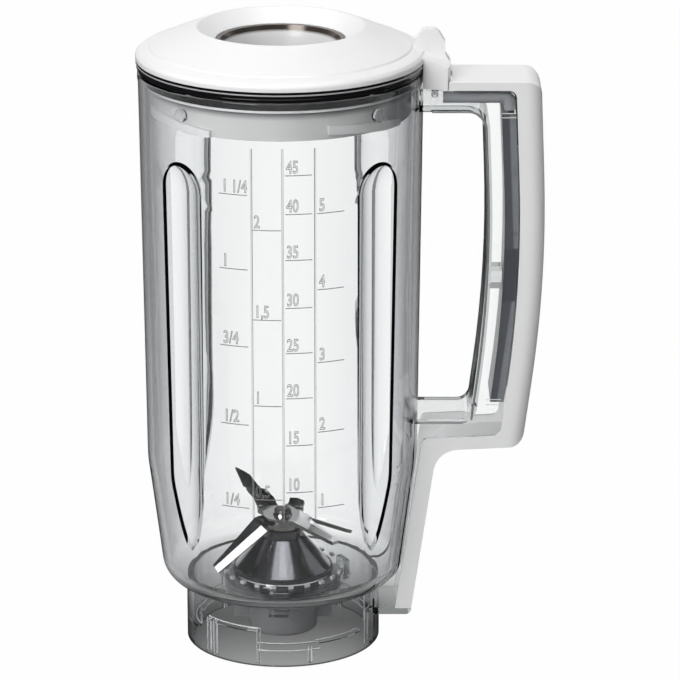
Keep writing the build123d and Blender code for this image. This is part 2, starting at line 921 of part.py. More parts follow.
def upper_blade():
    """Upper blade, one narrow arm bent up, one bent down and a short lug"""
    width = upper_arm_width
    half = width / 2
    side = raised_arm_width / 2
    length = raised_arm_length
    raised = (0, -half), (0.28 * length, -half), (0.42 * length, -side), (0.75 * length, -side)
    raised += (length, 0.2 * side), (0.6 * length, side), (0.2 * length, side), (0, half)
    drop = dropped_arm_length
    dropped = (0, -half), (0.97 * drop, -0.45 * half), (drop, 0.35 * half), (0, half)
    lug = lug_blade_length
    lug_half = lug_blade_width / 2
    short = (0, -lug_half), (lug, -0.7 * lug_half), (lug, 0.7 * lug_half), (0, lug_half)
    dropped_phase = upper_phase + dropped_arm_turn
    blade = disc(blade_hub_radius, blade_mid, blade_top)
    blade += blade_arm(raised, width, side, raised_arm_tilt, upper_phase, blade_mid)
    blade += blade_arm(dropped, width, half, dropped_arm_tilt, dropped_phase, blade_mid)
    blade += blade_arm(short, lug_blade_width, lug_half, lug_blade_tilt, lug_blade_phase, blade_mid)
    return pierced(blade, blade_mid)


def blade_washer():
    """Washer under the blade nut"""
    return ring(spigot_radius + run_gap, nut_washer_radius, blade_top, nut_low)


def blade_nut():
    """Round domed nut that holds the blades"""
    dome = nut_low + nut_height
    points = (0, nut_low), (nut_radius, nut_low), (nut_radius, dome), (0, dome)
    nut = revolve(section(points, [0, 0, 0.6 * nut_height, 0]), Axis.Z)
    return nut - disc(spigot_radius + run_gap, nut_low - over, nut_low + nut_height / 2 + run_gap)


pieces = [
    jar_body,
    handle_cover,
    handle_strip,
    lid,
    lid_seal,
    filler_funnel,
    blade_carrier,
    carrier_seal,
    bearing_cone,
    upper_bearing,
    lower_bearing,
    shaft_seal,
    blade_shaft,
    blade_spacer,
    thrust_washer,
    drive_coupling,
    retaining_ring,
    lower_blade,
    upper_blade,
    blade_washer,
    blade_nut,
]

os.makedirs("parts", exist_ok=True)
for piece in pieces:
    solid = piece()
    solid.label = piece.__name__
    export_step(solid, f"parts/{piece.__name__}.step")
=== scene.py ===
"""Looks of a clear fluted blender jar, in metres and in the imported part's own frame."""

import json
import logging
import math
from dataclasses import dataclass, field
from enum import Enum, IntEnum
from typing import Any, ClassVar, Sequence

import bmesh
import bpy
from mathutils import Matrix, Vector

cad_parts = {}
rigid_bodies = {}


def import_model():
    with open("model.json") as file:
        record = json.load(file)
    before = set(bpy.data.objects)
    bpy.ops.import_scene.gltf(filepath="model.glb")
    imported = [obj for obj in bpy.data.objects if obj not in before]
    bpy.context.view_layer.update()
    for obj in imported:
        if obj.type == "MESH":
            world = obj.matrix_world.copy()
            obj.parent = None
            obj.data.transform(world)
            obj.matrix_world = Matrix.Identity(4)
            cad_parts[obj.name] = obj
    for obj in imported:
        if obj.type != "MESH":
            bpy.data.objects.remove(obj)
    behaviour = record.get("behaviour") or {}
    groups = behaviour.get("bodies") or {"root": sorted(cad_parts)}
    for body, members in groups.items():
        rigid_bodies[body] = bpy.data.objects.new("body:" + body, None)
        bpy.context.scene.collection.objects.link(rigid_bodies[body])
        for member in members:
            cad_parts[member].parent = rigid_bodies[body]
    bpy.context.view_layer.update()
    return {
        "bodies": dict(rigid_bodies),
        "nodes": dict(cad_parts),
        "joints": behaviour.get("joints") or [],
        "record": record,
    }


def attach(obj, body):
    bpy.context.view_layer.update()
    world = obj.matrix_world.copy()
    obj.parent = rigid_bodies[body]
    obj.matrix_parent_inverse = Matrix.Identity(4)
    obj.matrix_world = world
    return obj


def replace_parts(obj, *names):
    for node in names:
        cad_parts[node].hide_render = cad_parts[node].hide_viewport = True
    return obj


LOG = logging.getLogger("blender_jar")
MM = 0.001
Pair = tuple[float, float]
Point = tuple[float, float, float]
Colour = tuple[float, float, float]


class Axis(IntEnum):
    """Parts of a vector, by their socket's number."""

    X = 0
    Y = 1
    Z = 2


class Sock:
    """An output socket that takes part in arithmetic and adds Math nodes as it goes."""

    def __init__(self, sheet: "Sheet", socket: bpy.types.NodeSocket) -> None:
        """Keep the socket and the sheet that it belongs to."""
        self.sheet = sheet
        self.socket = socket

    def __add__(self, other: "Sock | float") -> "Sock":
        """Sum of two values."""
        return self.sheet.math("ADD", self, other)

    def __radd__(self, other: float) -> "Sock":
        """Sum with a plain number on the left."""
        return self.sheet.math("ADD", other, self)

    def __sub__(self, other: "Sock | float") -> "Sock":
        """Difference of two values."""
        return self.sheet.math("SUBTRACT", self, other)

    def __rsub__(self, other: float) -> "Sock":
        """Difference with a plain number on the left."""
        return self.sheet.math("SUBTRACT", other, self)

    def __mul__(self, other: "Sock | float") -> "Sock":
        """Product of two values."""
        return self.sheet.math("MULTIPLY", self, other)

    def __rmul__(self, other: float) -> "Sock":
        """Product with a plain number on the left."""
        return self.sheet.math("MULTIPLY", other, self)

    def __rtruediv__(self, other: float) -> "Sock":
        """Quotient of a plain number and a value."""
        return self.sheet.math("DIVIDE", other, self)

    def __pow__(self, other: "Sock | float") -> "Sock":
        """Power of a value."""
        return self.sheet.math("POWER", self, other)

    def __neg__(self) -> "Sock":
        """Value with its sign turned."""
        return self.sheet.math("MULTIPLY", self, -1.0)

    def __abs__(self) -> "Sock":
        """Value without its sign."""
        return self.sheet.math("ABSOLUTE", self, 0.0)

    def at_most(self, other: "Sock | float") -> "Sock":
        """Smaller of two values."""
        return self.sheet.math("MINIMUM", self, other)

    def at_least(self, other: "Sock | float") -> "Sock":
        """Larger of two values."""
        return self.sheet.math("MAXIMUM", self, other)


class Sheet:
    """One node tree, with one method for every kind of node."""

    mix_first: ClassVar[int] = 6
    mix_second: ClassVar[int] = 7
    mix_result: ClassVar[int] = 2

    def __init__(self, tree: bpy.types.NodeTree, family: str = "ShaderNode") -> None:
        """Start from an empty tree.

        Args:
            tree: the tree to fill.
            family: what the names of most of its node types start with.
        """
        self.tree = tree
        self.family = family
        tree.nodes.clear()

    def node(
        self, kind: str, settings: dict[str, Any] | None = None, sockets: dict[str | int, Any] | None = None
    ) -> bpy.types.Node:
        """Add a node, with its settings first and then its sockets.

        Args:
            kind: the node's type, in full or without the family that the tree is made of.
            settings: attributes of the node.
            sockets: values or links by socket name or number.

        Returns:
            The new node.
        """
        made = self.tree.nodes.new(kind if "Node" in kind else self.family + kind)
        for name, value in (settings or {}).items():
            setattr(made, name, value)
        for name, value in (sockets or {}).items():
            self.fill(made.inputs[name], value)
        return made

    def fill(self, target: bpy.types.NodeSocket, value: Any) -> None:
        """Link a socket or set its value.

        Args:
            target: the input socket.
            value: an output socket or a constant, where a colour may leave out its alpha.
        """
        if isinstance(value, Sock):
            value = value.socket
        if isinstance(value, bpy.types.NodeSocket):
            self.tree.links.new(value, target)
        elif target.type == "RGBA" and len(value) == 3:
            target.default_value = (*value, 1.0)
        else:
            target.default_value = value

    def sock(self, node: bpy.types.Node, output: str | int = 0) -> Sock:
        """Output of a node as a value for arithmetic."""
        return Sock(self, node.outputs[output])

    def math(self, operation: str, left: Sock | float, right: Sock | float) -> Sock:
        """Math node on two values."""
        return self.sock(self.node("ShaderNodeMath", {"operation": operation}, {0: left, 1: right}))

    def blend(self, factor: Sock, first: Any, second: Any) -> Sock:
        """Mix of two colours by a factor."""
        colours = {"Factor": factor, self.mix_first: first, self.mix_second: second}
        return self.sock(self.node("Mix", {"data_type": "RGBA"}, colours), self.mix_result)

    def mixed(self, share: Sock, first: bpy.types.Node, second: bpy.types.Node) -> bpy.types.Node:
        """Mix of two shaders by a share."""
        return self.node("MixShader", sockets={0: share, 1: first.outputs[0], 2: second.outputs[0]})

    def place(self) -> Sock:
        """Object coordinates in metres."""
        return self.sock(self.node("TexCoord"), "Object")

    def part(self, vector: Sock, axis: Axis) -> Sock:
        """One part of a vector."""
        return self.sock(self.node("SeparateXYZ", sockets={0: vector}), axis)

    def height(self) -> Sock:
        """Height above the base in metres."""
        return self.part(self.place(), Axis.Z)

    def reach(self) -> Sock:
        """Distance from the jar's axis in metres."""
        level = self.node("VectorMath", {"operation": "MULTIPLY"}, {0: self.place(), 1: (1.0, 1.0, 0.0)})
        return self.sock(self.node("VectorMath", {"operation": "LENGTH"}, {0: level.outputs[0]}), "Value")

    def upward(self) -> Sock:
        """Share of the surface's normal that points up."""
        return self.part(self.sock(self.node("NewGeometry"), "Normal"), Axis.Z)

    def step(self, value: Sock, low: float, high: float) -> Sock:
        """Share from 0 to 1 as a value goes from low to high."""
        return ((value - low) * (1.0 / (high - low))).at_least(0.0).at_most(1.0)

    def noise(self, scale: float, detail: float = 2.0) -> Sock:
        """Noise from 0 to 1 over the object, by waves to the metre and octaves of finer noise."""
        return self.sock(
            self.node("TexNoise", sockets={"Vector": self.place(), "Scale": scale, "Detail": detail})
        )

    def bump(self, height: Sock, strength: float, distance: float) -> Sock:
        """Bumped normal from a height."""
        sockets = {"Strength": strength, "Distance": distance, "Height": height}
        return self.sock(self.node("Bump", sockets=sockets), "Normal")

    def output(self, surface: bpy.types.Node, volume: bpy.types.Node | None = None) -> None:
        """Join the shaders to the material's output.

        Args:
            surface: the shader of the surface.
            volume: the shader of what is inside it, if any.
        """
        links = {"Surface": surface.outputs[0]}
        if volume:
            links["Volume"] = volume.outputs[0]
        self.node("OutputMaterial", sockets=links)


def new_sheet(name: str) -> tuple[bpy.types.Material, Sheet]:
    """Start a material.

    Args:
        name: the material's name.

    Returns:
        The material and its empty node tree.
    """
    material = bpy.data.materials.new(name)
    material.use_nodes = True
    return material, Sheet(material.node_tree)


def linked(name: str, data: Any) -> bpy.types.Object:
    """Put new data in the scene.

    Args:
        name: the object's name.
        data: its mesh, curve, lamp or camera.

    Returns:
        The new object, at the origin.
    """
    made = bpy.data.objects.new(name, data)
    bpy.context.scene.collection.objects.link(made)
    return made


def plain_mesh(holder: bpy.types.Object) -> bpy.types.Mesh:
    """Plain mesh of an object, as its modifiers or its curve make it."""
    return bpy.data.meshes.new_from_object(holder.evaluated_get(bpy.context.evaluated_depsgraph_get()))


def smooth(mesh: bpy.types.Mesh, sharp: float) -> None:
    """Shade a mesh smooth, save at edges sharper than an angle in degrees."""
    mesh.shade_smooth()
    mesh.set_sharp_from_angle(angle=math.radians(sharp))


class GeometrySheet(Sheet):
    """Geometry node tree with named inputs, of which Finish is the material."""

    def __init__(self, name: str, inputs: dict[str, str]) -> None:
        """Start a tree with an output for its shape.

        Args:
            name: the tree's name.
            inputs: kind of socket for each input, by its name.
        """
        tree = bpy.data.node_groups.new(name, "GeometryNodeTree")
        tree.interface.new_socket("Geometry", in_out="OUTPUT", socket_type="NodeSocketGeometry")
        self.inputs: dict[str, str] = {}
        for label, kind in {**inputs, "Finish": "Material"}.items():
            socket = tree.interface.new_socket(label, in_out="INPUT", socket_type=f"NodeSocket{kind}")
            self.inputs[label] = socket.identifier
        super().__init__(tree, "GeometryNode")
        self.given = self.node("NodeGroupInput").outputs

    def close(self, shape: bpy.types.Node) -> None:
        """End the tree with a realized and dressed shape.

        Args:
            shape: the node that makes the shape.
        """
        real = self.node("RealizeInstances", sockets={"Geometry": shape.outputs[0]})
        dress = {"Geometry": real.outputs[0], "Material": self.given["Finish"]}
        self.node("NodeGroupOutput", sockets={0: self.node("SetMaterial", sockets=dress).outputs[0]})

    def mesh(self, base: bpy.types.Mesh, values: dict[str, Any]) -> bpy.types.Mesh:
        """Run the tree on a mesh, which is used up.

        Args:
            base: the mesh to start from.
            values: values of the tree's inputs by name.

        Returns:
            A plain mesh with no material of its own.
        """
        holder = linked(base.name, base)
        modifier = holder.modifiers.new(self.tree.name, "NODES")
        modifier.node_group = self.tree
        for label, value in values.items():
            modifier[self.inputs[label]] = value
        made = plain_mesh(holder)
        made.materials.clear()
        holder.modifiers.clear()
        bpy.data.objects.remove(holder)
        bpy.data.meshes.remove(base)
        return made


@dataclass(frozen=True)
class ClearPlastic:
    """Polished clear plastic whose upright walls darken where met at a slant: partly the longer path through
    the wall, mostly painted shade for the dark surroundings that the edges show.
    """

    name: str = "clear_plastic"
    tint: Colour = (0.985, 0.99, 0.99)
    painted_edge_tint: Colour = (0.03, 0.032, 0.037)
    painted_edge_share: float = 0.98
    painted_edge_power: float = 2.0
    ior: float = 1.49
    roughness: float = 0.008
    haze: float = 0.012
    haze_scale: float = 38.0
    haze_detail: float = 3.0
    absorbed: Colour = (0.7, 0.72, 0.72)
    density: float = 75.0
    clearness: float = 1.0
    shadow: Colour = (0.94, 0.94, 0.94)

    def build(self) -> bpy.types.Material:
        """Material with a faint moulding haze and light absorption inside the wall.

        Returns:
            The new material.
        """
        material, sheet = new_sheet(self.name)
        gloss = self.roughness + self.haze * sheet.noise(self.haze_scale, self.haze_detail)
        shared = {"Roughness": gloss, "IOR": self.ior, "Transmission Weight": self.clearness}
        clear, slant = (
            sheet.node("BsdfPrincipled", sockets={"Base Color": tint, **shared})
            for tint in (self.tint, self.painted_edge_tint)
        )
        facing = sheet.sock(sheet.node("LayerWeight"), "Facing")
        # painted shade: upright walls turn to the dark tint at a slant, for the dark surroundings seen in
        # their edges
        share = self.painted_edge_share * facing**self.painted_edge_power * (1.0 - abs(sheet.upward()))
        shadow = sheet.sock(sheet.node("LightPath"), "Is Shadow Ray")
        pale = sheet.node("BsdfTransparent", sockets={"Color": self.shadow})
        surface = sheet.mixed(shadow, sheet.mixed(share, clear, slant), pale)
        absorb = sheet.node("VolumeAbsorption", sockets={"Color": self.absorbed, "Density": self.density})
        sheet.output(surface, absorb)
        return material


@dataclass(frozen=True)
class GrainedSurface:
    """Opaque surface of one colour, with a fine grain in its gloss and its normal."""

    name: str
    colour: Colour
    roughness: float
    grain_gloss: float = 0.08
    grain_scale: float = 2600.0
    grain: float = 0.06
    grain_depth: float = 0.04 * MM
    metallic: float = 0.0
    ior: float = 1.48

    def shade(self, sheet: Sheet) -> Sock | Colour:
        """Colour of the surface."""
        return self.colour

    def build(self) -> bpy.types.Material:
        """Material with the surface's shade and grain.

        Returns:
            The new material.
        """
        material, sheet = new_sheet(self.name)
        grain = sheet.noise(self.grain_scale)
        shader = sheet.node(
            "BsdfPrincipled",
            sockets={
                "Base Color": self.shade(sheet),
                "Metallic": self.metallic,
                "Roughness": self.roughness + self.grain_gloss * grain,
                "Normal": sheet.bump(grain, self.grain, self.grain_depth),
                "IOR": self.ior,
            },
        )
        sheet.output(shader)
        return material


@dataclass(frozen=True)
class MouldedPlastic(GrainedSurface):
    """Moulded plastic or rubber with a fine spark-eroded grain and a faint change of shade."""

    mottle: float = 0.03
    mottle_scale: float = 45.0
    mottle_detail: float = 3.0

    def shade(self, sheet: Sheet) -> Sock:
        """Colour that is a little darker here and there."""
        darker = tuple(channel * (1.0 - self.mottle) for channel in self.colour)
        return sheet.blend(sheet.noise(self.mottle_scale, self.mottle_detail), self.colour, darker)


@dataclass(frozen=True)
class LidPlastic(GrainedSurface):
    """White plastic with painted shade up the skirt, under the ledge, and on what faces down inside the lid.
    """

    painted_shade: Colour = (0.06, 0.06, 0.064)
    skirt_share: float = 0.22
    skirt_low: float = 223.4 * MM
    skirt_high: float = 227.6 * MM
    skirt_radius: float = 50.2 * MM
    inner_radius: float = 49.196 * MM
    blur: float = 0.1 * MM
    downward: Pair = (0.2, 0.4)

    def shade(self, sheet: Sheet) -> Sock:
        """Colour with painted shade up the skirt and on what faces down inside it.

        Args:
            sheet: the material's node tree.

        Returns:
            The colour.
        """
        reach, height = sheet.reach(), sheet.height()
        # painted shade: the skirt darkens towards the ledge above it, and downward faces inside the skirt
        # are dark
        within = 1.0 - sheet.step(reach, self.skirt_radius, self.skirt_radius + 2.0 * self.blur)
        below = 1.0 - sheet.step(height, self.skirt_high + self.blur, self.skirt_high + 2.0 * self.blur)
        skirt = sheet.step(height, self.skirt_low, self.skirt_high).at_least(self.skirt_share)
        inside = 1.0 - sheet.step(reach, self.inner_radius, self.skirt_radius)
        painted_ceiling_shade = inside * sheet.step(-sheet.upward(), *self.downward)
        return sheet.blend((within * below * skirt).at_least(painted_ceiling_shade), self.colour, self.painted_shade)


@dataclass(frozen=True)
class CarrierPlastic(GrainedSurface):
    """Grey plastic that is nearly black from the flange up."""

    black: Colour = (0.012, 0.013, 0.018)
    flange: float = 17.0 * MM
    blur: float = 0.6 * MM

    def shade(self, sheet: Sheet) -> Sock:
        """Colour that turns dark at the flange."""
        share = sheet.step(sheet.height(), self.flange, self.flange + self.blur)
        return sheet.blend(share, self.colour, self.black)


@dataclass(frozen=True)
class Steel(GrainedSurface):
    """Steel or bronze with fine marks from grinding or polishing."""

    grain_gloss: float = 0.12
    grain_scale: float = 900.0
    grain: float = 0.05
    grain_depth: float = 0.03 * MM
    metallic: float = 1.0
    ior: float = 1.5


@dataclass(frozen=True)
class BladeSteel(Steel):
    """Blade steel, bright where it is ground; its dark hub is painted shade, its dark raised arm a painted
    dark reflection, and its dark cut edges partly their own colour and partly painted shadow.
    """

    # painted shade: colour of the shaded hub, of the raised arm's dark reflection and, in part, of the cut
    # edges
    dark: Colour = (0.12, 0.117, 0.115)
    shaded_hub_radius: float = 0.0
    raised: float = 1.0
    blur: float = 0.4 * MM
    edge_slope: Pair = (0.04, 0.12)

    def shade(self, sheet: Sheet) -> Sock:
        """Colour that is dark by slope, radius and height, as painted shade and reflection, with the cut
        edges partly their own colour.

        Args:
            sheet: the material's node tree.

        Returns:
            The colour.
        """
        # painted shade and reflection: steep edges, the hub and everything above the raised height turn dark
        upward = sheet.upward()
        edge = 1.0 - sheet.step(upward * upward, *self.edge_slope)
        hub = 1.0 - sheet.step(sheet.reach(), self.shaded_hub_radius, self.shaded_hub_radius + self.blur)
        high = sheet.step(sheet.height(), self.raised, self.raised + self.blur)
        return sheet.blend(edge.at_least(hub).at_least(high), self.colour, self.dark)


@dataclass(frozen=True)
class FunnelPlastic:
    """Milky clear plastic with a dark collar, whose dark colour and metal gloss are painted shade and
    reflection for the look of the thick clear ring.
    """

    name: str = "funnel_plastic"
    milky: Colour = (0.9, 0.905, 0.9)
    milky_roughness: float = 0.25
    milky_cloud: float = 0.1
    clearness: float = 0.3
    ior: float = 1.49
    # painted shade and reflection: dark, part-metal collar in place of clear plastic
    collar: Colour = (0.1, 0.085, 0.075)
    collar_roughness: float = 0.16
    collar_cloud: float = 0.06
    collar_metallic: float = 0.6
    collar_low: float = 240.6 * MM
    collar_high: float = 241.6 * MM
    cloud_scale: float = 60.0

    def build(self) -> bpy.types.Material:
        """Material that turns from milky to dark with height.

        Returns:
            The new material.
        """
        material, sheet = new_sheet(self.name)
        cloud = sheet.noise(self.cloud_scale)
        milky = sheet.node(
            "BsdfPrincipled",
            sockets={
                "Base Color": self.milky,
                "Roughness": self.milky_roughness + self.milky_cloud * cloud,
                "Transmission Weight": self.clearness,
                "IOR": self.ior,
            },
        )
        # painted shade and reflection on the collar
        collar = sheet.node(
            "BsdfPrincipled",
            sockets={
                "Base Color": self.collar,
                "Roughness": self.collar_roughness + self.collar_cloud * cloud,
                "Metallic": self.collar_metallic,
            },
        )
        share = sheet.step(sheet.height(), self.collar_low, self.collar_high)
        sheet.output(sheet.mixed(share, milky, collar))
        return material


@dataclass(frozen=True)
class StripPlastic:
    """Dark plastic strip with a nearly black middle and a paler outer half, which is a painted reflection of
    the channel that it lies in.
    """

    name: str = "strip_plastic"
    dark: Colour = (0.038, 0.042, 0.053)
    # painted reflection: colour of the strip's outer half
    pale: Colour = (0.19, 0.2, 0.22)
    painted_reflection_share: float = 0.7
    painted_reflection_wave: float = 0.3
    black: Colour = (0.018, 0.02, 0.03)
    roughness: float = 0.22
    roughness_wave: float = 0.15
    wave_scale: float = 160.0
    wave_detail: float = 3.0
    middle: Pair = (142.0 * MM, 163.0 * MM)
    blur: float = 0.3 * MM
    bend_height: float = 150.0 * MM
    bend_place: float = 87.5 * MM
    lean_high: float = 0.0415
    lean_low: float = 0.129
    outer: Pair = (2.34 * MM, 2.99 * MM)

    def build(self) -> bpy.types.Material:
        """Material that follows the curve of the grip.

        Returns:
            The new material.
        """
        material, sheet = new_sheet(self.name)
        place = sheet.place()
        across, height = sheet.part(place, Axis.X), sheet.part(place, Axis.Z)
        rise = height - self.bend_height
        line = self.bend_place - rise.at_least(0.0) * self.lean_high + rise.at_most(0.0) * self.lean_low
        outer = sheet.step(across - line, *self.outer)
        low, high = self.middle
        above = sheet.step(height, low - self.blur, low)
        inside = above * (1.0 - sheet.step(height, high, high + self.blur))
        wave = sheet.noise(self.wave_scale, self.wave_detail)
        # painted reflection: the outer half turns paler
        colour = sheet.blend(outer * (self.painted_reflection_share + self.painted_reflection_wave * wave), self.dark, self.pale)
        shader = sheet.node(
            "BsdfPrincipled",
            sockets={
                "Base Color": sheet.blend(inside, colour, self.black),
                "Roughness": self.roughness + self.roughness_wave * wave,
            },
        )
        sheet.output(shader)
        return material


class Finish(Enum):
    """Finishes of the jar's pieces."""

    CLEAR = ClearPlastic()
    RELIEF = ClearPlastic(
        "relief_plastic",
        tint=(0.38, 0.385, 0.39),
        painted_edge_tint=(0.1, 0.105, 0.11),
        painted_edge_share=0.9,
        painted_edge_power=1.2,
        roughness=0.12,
        haze=0.1,
        absorbed=(0.9, 0.9, 0.9),
        density=1.0,
        clearness=0.58,
    )
    LINE = ClearPlastic(
        "line_plastic",
        tint=(0.86, 0.87, 0.88),
        painted_edge_tint=(0.3, 0.31, 0.32),
        painted_edge_share=0.9,
        painted_edge_power=1.2,
    )
    NIB = MouldedPlastic("nib_plastic", (0.5, 0.52, 0.54), 0.12)
    FUNNEL = FunnelPlastic()
    WHITE = MouldedPlastic("white_plastic", (0.86, 0.86, 0.86), 0.32)
    # painted shade up the lid's skirt and on its underside
    LID = LidPlastic("lid_plastic", (0.86, 0.86, 0.86), 0.3)
    # pale beads; on the rib edges, the ledge and the sill they are painted highlights
    BEAD = MouldedPlastic("bead_plastic", (0.84, 0.855, 0.87), 0.1)
    STRIP = StripPlastic()
    DARK = MouldedPlastic("dark_plastic", (0.07, 0.075, 0.085), 0.42)
    # painted shade: grey for the tube that darkens the upper arm's hollow
    SHADE_LINER = MouldedPlastic("shade_liner_plastic", (0.3, 0.31, 0.325), 0.3)
    CARRIER = CarrierPlastic(
        "carrier_plastic",
        (0.2, 0.205, 0.215),
        0.34,
        grain_gloss=0.1,
        grain_scale=2200.0,
        grain=0.05,
        ior=1.5,
    )
    RUBBER = MouldedPlastic("seal_rubber", (0.006, 0.006, 0.007), 0.05)
    # painted sheen: pale rubber for a bright line along the seal
    SHEEN = MouldedPlastic("painted_sheen_rubber", (0.4, 0.4, 0.41), 0.16)
    BLADE = Steel("blade_steel", (0.78, 0.78, 0.79), 0.06, 0.08)
    # painted shade at the lower blade's hub and a painted dark reflection on the upper blade's raised arm
    LOWER_BLADE = BladeSteel("lower_blade_steel", (0.78, 0.78, 0.79), 0.06, 0.08, shaded_hub_radius=10.2 * MM)
    UPPER_BLADE = BladeSteel("upper_blade_steel", (0.78, 0.78, 0.79), 0.06, 0.08, raised=50.4 * MM)
    POLISHED = Steel("polished_steel", (0.27, 0.27, 0.29), 0.13, 0.06)
    NUT = Steel("nut_steel", (0.16, 0.15, 0.14), 0.12, 0.08)
    BRONZE = Steel("bearing_bronze", (0.55, 0.36, 0.16), 0.3)


class Workshop:
    """Builds the finishes, and turns meshes into pieces that ride on the part's bodies."""

    weld: ClassVar[float] = 0.002 * MM

    def __init__(self, frame: dict[str, Any]) -> None:
        """Keep the loaded frame and build the finishes once each.

        Args:
            frame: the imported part's frame.
        """
        self.nodes = frame["nodes"]
        bodies = frame["record"]["behaviour"]["bodies"]
        self.body_of = {node: body for body, members in bodies.items() for node in members}
        self.slots = {entry["node"]: entry["material_slot"] for entry in frame["record"]["subparts"]}
        self.materials = {finish: finish.value.build() for finish in Finish}

    def copied(self, node: str, name: str) -> bpy.types.Mesh:
        """Closed copy of a node's loose triangles that keeps the shading of the solid's faces.

        Args:
            node: the node to copy.
            name: the new mesh's name.

        Returns:
            The merged mesh.
        """
        source = self.nodes[node].data
        places: dict[tuple[int, ...], int] = {}
        number = [
            places.setdefault(tuple(round(value / self.weld) for value in vertex.co), len(places))
            for vertex in source.vertices
        ]
        points = [None] * len(places)
        for vertex, index in zip(source.vertices, number):
            points[index] = vertex.co.copy()
        corners = [corner.vector.copy() for corner in source.corner_normals]
        faces = []
        normals = []
        for polygon in source.polygons:
            face = [number[vertex] for vertex in polygon.vertices]
            if len(set(face)) == len(face):
                faces.append(face)
                normals.extend(corners[loop] for loop in polygon.loop_indices)
        mesh = bpy.data.meshes.new(name)
        mesh.from_pydata(points, [], faces)
        mesh.shade_smooth()
        mesh.normals_split_custom_set(normals)
        return mesh

    def piece(self, name: str, mesh: bpy.types.Mesh, finish: Finish, node: str) -> bpy.types.Object:
        """Turn a mesh into a dressed piece.

        Args:
            name: the piece's name.
            mesh: its shape.
            finish: its finish.
            node: the node whose body it takes.

        Returns:
            The new object.
        """
        mesh.name = name
        mesh.materials.append(self.materials[finish])
        made = linked(name, mesh)
        body, slot = self.body_of[node], self.slots[node]
        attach(made, body)
        LOG.info("%s: %d faces", name, len(mesh.polygons))
        return made

    def dress(self, node: str, finish: Finish) -> bpy.types.Object:
        """Make a smooth copy of a node, in a finish, that stands for the node.

        Args:
            node: the node.
            finish: its finish.

        Returns:
            The new object.
        """
        name = f"{node}_dressed"
        made = self.piece(name, self.copied(node, name), finish, node)
        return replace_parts(made, node)


def evenly(start: float, end: float, steps: int) -> list[float]:
    """Values from start to end in even steps."""
    return [start + (end - start) * part / steps for part in range(steps + 1)]


def arc(radius: float, height: float, start: float, end: float, step: float = 3.0) -> list[Vector]:
    """Points along a level arc about the jar's axis.

    Args:
        radius: the arc's radius.
        height: its height.
        start: where it starts, in degrees from the X axis.
        end: where it ends.
        step: about how far apart its points are, in degrees.

    Returns:
        The points.
    """
    turns = [math.radians(turn) for turn in evenly(start, end, max(2, round((end - start) / step)))]
    return [Vector((radius * math.cos(turn), radius * math.sin(turn), height)) for turn in turns]


def ring(radius: float, height: float, step: float = 3.0) -> list[Vector]:
    """Points round a full circle about the jar's axis, without its first point again."""
    return arc(radius, height, 0.0, 360.0 - step, step)


def rounded(points: Sequence[Pair], radii: Sequence[float], steps: int = 12) -> list[Vector]:
    """Open line through corner points, with each corner rounded.

    Args:
        points: the line's ends and corners.
        radii: one radius for each corner.
        steps: straight parts in each rounding.

    Returns:
        Points along the line.
    """
    line = [Vector(points[0])]
    for before, corner, after, radius in zip(points, points[1:], points[2:], radii):
        back = (Vector(before) - Vector(corner)).normalized()
        ahead = (Vector(after) - Vector(corner)).normalized()
        half = back.angle(ahead) / 2
        centre = Vector(corner) + (back + ahead).normalized() * (radius / math.sin(half))
        first = Vector(corner) + back * (radius / math.tan(half))
        last = Vector(corner) + ahead * (radius / math.tan(half))
        for part in range(steps + 1):
            line.append(centre + (first.lerp(last, part / steps) - centre).normalized() * radius)
    line.append(Vector(points[-1]))
    return line


def upright(points: Sequence[Vector], depth: float, shift: float = 0.0) -> list[Vector]:
    """Flat points stood up at a depth along Y, and shifted along X."""
    return [Vector((point.x + shift, depth, point.y)) for point in points]


@dataclass
class Beads:
    """Round beads along lines, all swept by one node tree."""

    shop: Workshop
    sides: int = 8
    sharp: float = 50.0
    sheet: GeometrySheet = field(init=False)

    def __post_init__(self) -> None:
        """Build the tree that sweeps a round section along lines."""
        sheet = GeometrySheet("bead", {"Line": "Geometry", "Radius": "Float", "Sides": "Int"})
        line = sheet.node("MeshToCurve", sockets={"Mesh": sheet.given["Line"]})
        section = {"Resolution": sheet.given["Sides"], "Radius": sheet.given["Radius"]}
        circle = sheet.node("CurvePrimitiveCircle", sockets=section)
        sweep = {"Curve": line.outputs[0], "Profile Curve": circle.outputs[0], "Fill Caps": True}
        sheet.close(sheet.node("CurveToMesh", sockets=sweep))
        self.sheet = sheet

    def add(
        self,
        name: str,
        paths: Sequence[Sequence[Vector]],
        radius: float,
        finish: Finish,
        node: str,
        closed: bool = False,
    ) -> None:
        """Add beads along paths as one piece.

        Args:
            name: the piece's name.
            paths: the lines that the beads follow, in millimetres.
            radius: the beads' radius, in millimetres.
            finish: the piece's finish.
            node: the node that it belongs to.
            closed: whether each path ends where it starts.
        """
        points: list[Vector] = []
        edges: list[tuple[int, int]] = []
        for path in paths:
            first = len(points)
            points += [place * MM for place in path]
            edges += [(index, index + 1) for index in range(first, len(points) - 1)]
            if closed:
                edges.append((len(points) - 1, first))
        line = bpy.data.meshes.new("bead_line")
        line.from_pydata(points, edges, [])
        values = {"Radius": radius * MM, "Sides": self.sides, "Finish": self.shop.materials[finish]}
        mesh = self.sheet.mesh(line, values)
        smooth(mesh, self.sharp)
        self.shop.piece(name, mesh, finish, node)


